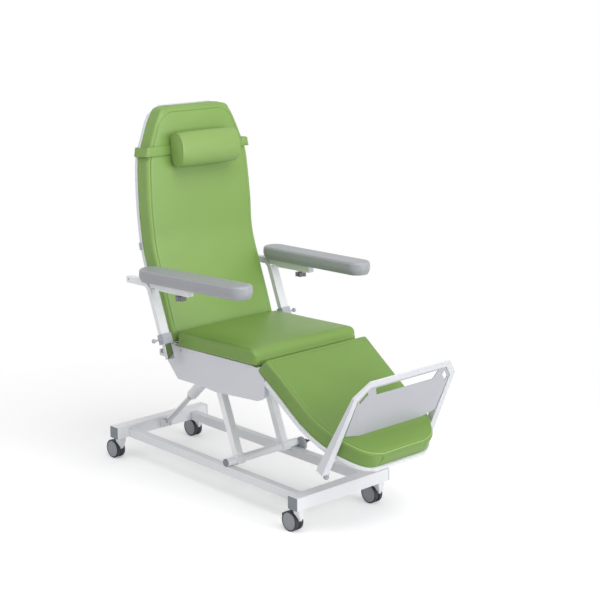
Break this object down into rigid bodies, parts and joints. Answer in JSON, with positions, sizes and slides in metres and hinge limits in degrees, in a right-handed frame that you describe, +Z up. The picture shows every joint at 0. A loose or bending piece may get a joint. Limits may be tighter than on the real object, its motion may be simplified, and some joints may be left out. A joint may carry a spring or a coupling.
{
  "type": "phlebotomy chair",
  "caption": "Reclining blood-draw chair on a steel base with twin-wheel casters, padded seat, back and leg section, sliding footboard, adjustable armrests and neck pillow.",
  "frame": {"origin": "on the floor, under the middle of the whole chair's bounding box", "axes": "+Z up; the chair faces -Y, with the footboard towards -Y and the backrest towards +Y; +X is the sitter's left"},
  "size_m": [0.758, 1.558, 1.5217],
  "materials": {
    "green_vinyl": "soft matt vinyl",
    "grey_foam": "soft skinned foam, satin",
    "white_plastic": "smooth",
    "grey_plastic": "moulded",
    "dark_tyre": "matt",
    "dark_plastic": "moulded",
    "bright_chrome": "polished",
    "bare_steel": "ground",
    "dark_metal": "satin paint",
    "white_metal": "powder coat"
  },
  "bodies": {
    "base": {"rear_cross_tube": "white_metal", "front_cross_tube": "white_metal", "side_rails": "white_metal", "tube_end_caps": "grey_plastic", "pivot_tube": "white_metal", "tilt_clevis": "white_metal", "pivot_lock_housing": "grey_plastic"},
    "caster_front_right": {"caster_housing_front_right": "white_metal"},
    "wheels_front_right": {"caster_hubs_front_right": "grey_plastic", "caster_tyres_front_right": "dark_tyre"},
    "pedal_right": {"brake_pedal_right": "dark_plastic"},
    "caster_front_left": {"caster_housing_front_left": "white_metal"},
    "wheels_front_left": {"caster_hubs_front_left": "grey_plastic", "caster_tyres_front_left": "dark_tyre"},
    "pedal_left": {"brake_pedal_left": "dark_plastic"},
    "caster_rear_right": {"caster_housing_rear_right": "white_metal"},
    "wheels_rear_right": {"caster_hubs_rear_right": "grey_plastic", "caster_tyres_rear_right": "dark_tyre"},
    "caster_rear_left": {"caster_housing_rear_left": "white_metal"},
    "wheels_rear_left": {"caster_hubs_rear_left": "grey_plastic", "caster_tyres_rear_left": "dark_tyre"},
    "lock_handle": {"pivot_lock_handle": "dark_plastic"},
    "seat": {"seat_cushion": "green_vinyl", "seat_frame": "white_metal", "lift_arms": "white_metal", "side_cover_right": "white_plastic", "side_cover_left": "white_plastic", "arm_uprights": "bright_chrome", "pins_and_screws": "bare_steel"},
    "tilt_cylinder": {"tilt_cylinder": "white_metal"},
    "tilt_rod": {"tilt_rod": "bare_steel"},
    "back": {"back_cushion": "green_vinyl", "back_board": "white_plastic", "back_frame": "white_metal", "board_clips": "grey_plastic"},
    "back_cylinder": {"back_spring_cylinder": "dark_metal"},
    "back_rod": {"back_spring_rod": "bare_steel"},
    "leg": {"leg_cushion": "green_vinyl", "leg_tray": "white_plastic", "leg_frame": "dark_metal"},
    "leg_cylinder": {"leg_spring_cylinder": "dark_metal"},
    "leg_rod": {"leg_spring_rod": "bare_steel"},
    "footboard": {"footboard_frame": "white_metal", "footboard_panel": "white_plastic"},
    "clamp_knob_right": {"clamp_knob_right": "dark_plastic"},
    "clamp_knob_left": {"clamp_knob_left": "dark_plastic"},
    "pillow": {"neck_pillow": "green_vinyl", "pillow_strap": "green_vinyl"},
    "post_right": {"arm_post_right": "white_metal", "arm_collar_right": "grey_plastic"},
    "ball_right": {"ball_knob_right": "grey_plastic"},
    "bar_right": {"arm_bar_right": "white_metal"},
    "pad_right": {"arm_pad_right": "grey_foam"},
    "star_right": {"star_knob_right": "bright_chrome"},
    "post_left": {"arm_post_left": "white_metal", "arm_collar_left": "grey_plastic"},
    "ball_left": {"ball_knob_left": "grey_plastic"},
    "bar_left": {"arm_bar_left": "white_metal"},
    "pad_left": {"arm_pad_left": "grey_foam"},
    "star_left": {"star_knob_left": "bright_chrome"}
  },
  "joints": [
    {"name": "swivel_front_right", "type": "hinge", "parent": "base", "child": "caster_front_right", "pos_m": [-0.212, -0.417, 0.099], "axis": [0, 0, 1], "continuous": true},
    {"name": "roll_front_right", "type": "hinge", "parent": "caster_front_right", "child": "wheels_front_right", "pos_m": [-0.212, -0.381, 0.04], "axis": [1, 0, 0], "continuous": true},
    {"name": "brake_right", "type": "hinge", "parent": "caster_front_right", "child": "pedal_right", "pos_m": [-0.212, -0.37, 0.056], "axis": [-1, 0, 0], "range_deg": [0, 15]},
    {"name": "swivel_front_left", "type": "hinge", "parent": "base", "child": "caster_front_left", "pos_m": [0.212, -0.417, 0.099], "axis": [0, 0, 1], "continuous": true},
    {"name": "roll_front_left", "type": "hinge", "parent": "caster_front_left", "child": "wheels_front_left", "pos_m": [0.212, -0.381, 0.04], "axis": [1, 0, 0], "continuous": true},
    {"name": "brake_left", "type": "hinge", "parent": "caster_front_left", "child": "pedal_left", "pos_m": [0.212, -0.37, 0.056], "axis": [-1, 0, 0], "range_deg": [0, 15]},
    {"name": "swivel_rear_right", "type": "hinge", "parent": "base", "child": "caster_rear_right", "pos_m": [-0.212, 0.703, 0.099], "axis": [0, 0, 1], "continuous": true},
    {"name": "roll_rear_right", "type": "hinge", "parent": "caster_rear_right", "child": "wheels_rear_right", "pos_m": [-0.212, 0.739, 0.04], "axis": [1, 0, 0], "continuous": true},
    {"name": "swivel_rear_left", "type": "hinge", "parent": "base", "child": "caster_rear_left", "pos_m": [0.212, 0.703, 0.099], "axis": [0, 0, 1], "continuous": true},
    {"name": "roll_rear_left", "type": "hinge", "parent": "caster_rear_left", "child": "wheels_rear_left", "pos_m": [0.212, 0.739, 0.04], "axis": [1, 0, 0], "continuous": true},
    {"name": "lock_turn", "type": "hinge", "parent": "base", "child": "lock_handle", "pos_m": [0.1695, 0.008, 0.1475], "axis": [1, 0, 0], "range_deg": [0, 25]},
    {"name": "tilt", "type": "hinge", "parent": "base", "child": "seat", "pos_m": [0, 0.033, 0.1525], "axis": [-1, 0, 0], "range_deg": [0, 14]},
    {"name": "tilt_cylinder_turn", "type": "hinge", "parent": "seat", "child": "tilt_cylinder", "pos_m": [0, 0.23119, 0.52006], "axis": [1, 0, 0], "range_deg": [-1, 13.2]},
    {"name": "tilt_rod_slide", "type": "slide", "parent": "tilt_cylinder", "child": "tilt_rod", "axis": [0, -0.7314, 0.6819], "range_m": [-0.001, 0.10125]},
    {"name": "recline", "type": "hinge", "parent": "seat", "child": "back", "pos_m": [0, 0.30014, 0.58792], "axis": [-1, 0, 0], "range_deg": [0, 60]},
    {"name": "back_cylinder_turn", "type": "hinge", "parent": "seat", "child": "back_cylinder", "pos_m": [0.07, -0.00422, 0.55413], "axis": [1, 0, 0], "range_deg": [-1.95, 1]},
    {"name": "back_rod_slide", "type": "slide", "parent": "back_cylinder", "child": "back_rod", "axis": [0, 0.9999, -0.0159], "range_m": [-0.04555, 0.001]},
    {"name": "leg_raise", "type": "hinge", "parent": "seat", "child": "leg", "pos_m": [0, -0.2417, 0.60213], "axis": [-1, 0, 0], "range_deg": [0, 32]},
    {"name": "leg_cylinder_turn", "type": "hinge", "parent": "seat", "child": "leg_cylinder", "pos_m": [-0.07, 0.01778, 0.55413], "axis": [1, 0, 0], "range_deg": [-1, 1.04]},
    {"name": "leg_rod_slide", "type": "slide", "parent": "leg_cylinder", "child": "leg_rod", "axis": [0, -0.9992, -0.0398], "range_m": [-0.001, 0.03418]},
    {"name": "footboard_slide", "type": "slide", "parent": "leg", "child": "footboard", "axis": [0, -0.8926, -0.4509], "range_m": [0, 0.08]},
    {"name": "clamp_turn_right", "type": "hinge", "parent": "footboard", "child": "clamp_knob_right", "pos_m": [-0.245, -0.60626, 0.29799], "axis": [0, -0.4509, 0.8926], "range_deg": [0, 360]},
    {"name": "clamp_turn_left", "type": "hinge", "parent": "footboard", "child": "clamp_knob_left", "pos_m": [0.245, -0.60626, 0.29799], "axis": [0, -0.4509, 0.8926], "range_deg": [0, 360]},
    {"name": "pillow_slide", "type": "slide", "parent": "back", "child": "pillow", "axis": [0, 0.0837, 0.9965], "range_m": [-0.02, 0]},
    {"name": "arm_height_right", "type": "slide", "parent": "seat", "child": "post_right", "axis": [0, 0.3665, 0.9304], "range_m": [-0.04, 0.07]},
    {"name": "ball_pull_right", "type": "slide", "parent": "post_right", "child": "ball_right", "axis": [-1, 0, 0], "range_m": [0, 0.006], "stiffness_N_per_m": 400},
    {"name": "arm_swing_right", "type": "hinge", "parent": "post_right", "child": "bar_right", "pos_m": [-0.315, 0.3403, 0.84971], "axis": [-1, 0, 0], "range_deg": [0, 70]},
    {"name": "pad_slide_right", "type": "slide", "parent": "bar_right", "child": "pad_right", "axis": [0, -0.9995, 0.0332], "range_m": [-0.02, 0.05]},
    {"name": "star_turn_right", "type": "hinge", "parent": "pad_right", "child": "star_right", "pos_m": [-0.315, 0.14141, 0.85631], "axis": [0, 0.0332, 0.9995], "range_deg": [0, 360]},
    {"name": "arm_height_left", "type": "slide", "parent": "seat", "child": "post_left", "axis": [0, 0.3665, 0.9304], "range_m": [-0.04, 0.07]},
    {"name": "ball_pull_left", "type": "slide", "parent": "post_left", "child": "ball_left", "axis": [1, 0, 0], "range_m": [0, 0.006], "stiffness_N_per_m": 400},
    {"name": "arm_swing_left", "type": "hinge", "parent": "post_left", "child": "bar_left", "pos_m": [0.315, 0.3403, 0.84971], "axis": [-1, 0, 0], "range_deg": [0, 70]},
    {"name": "pad_slide_left", "type": "slide", "parent": "bar_left", "child": "pad_left", "axis": [0, -0.9995, 0.0332], "range_m": [-0.02, 0.05]},
    {"name": "star_turn_left", "type": "hinge", "parent": "pad_left", "child": "star_left", "pos_m": [0.315, 0.14141, 0.85631], "axis": [0, 0.0332, 0.9995], "range_deg": [0, 360]}
  ],
  "couplings": [
    {"joint": "tilt_cylinder_turn", "follows": "tilt", "ratio": 0.87126},
    {"joint": "tilt_rod_slide", "follows": "tilt", "m_per_rad": 0.41027},
    {"joint": "back_cylinder_turn", "follows": "recline", "ratio": -0.0159},
    {"joint": "back_rod_slide", "follows": "recline", "m_per_rad": -0.042543},
    {"joint": "leg_cylinder_turn", "follows": "leg_raise", "ratio": 0.00134},
    {"joint": "leg_rod_slide", "follows": "leg_raise", "m_per_rad": 0.059411}
  ]
}
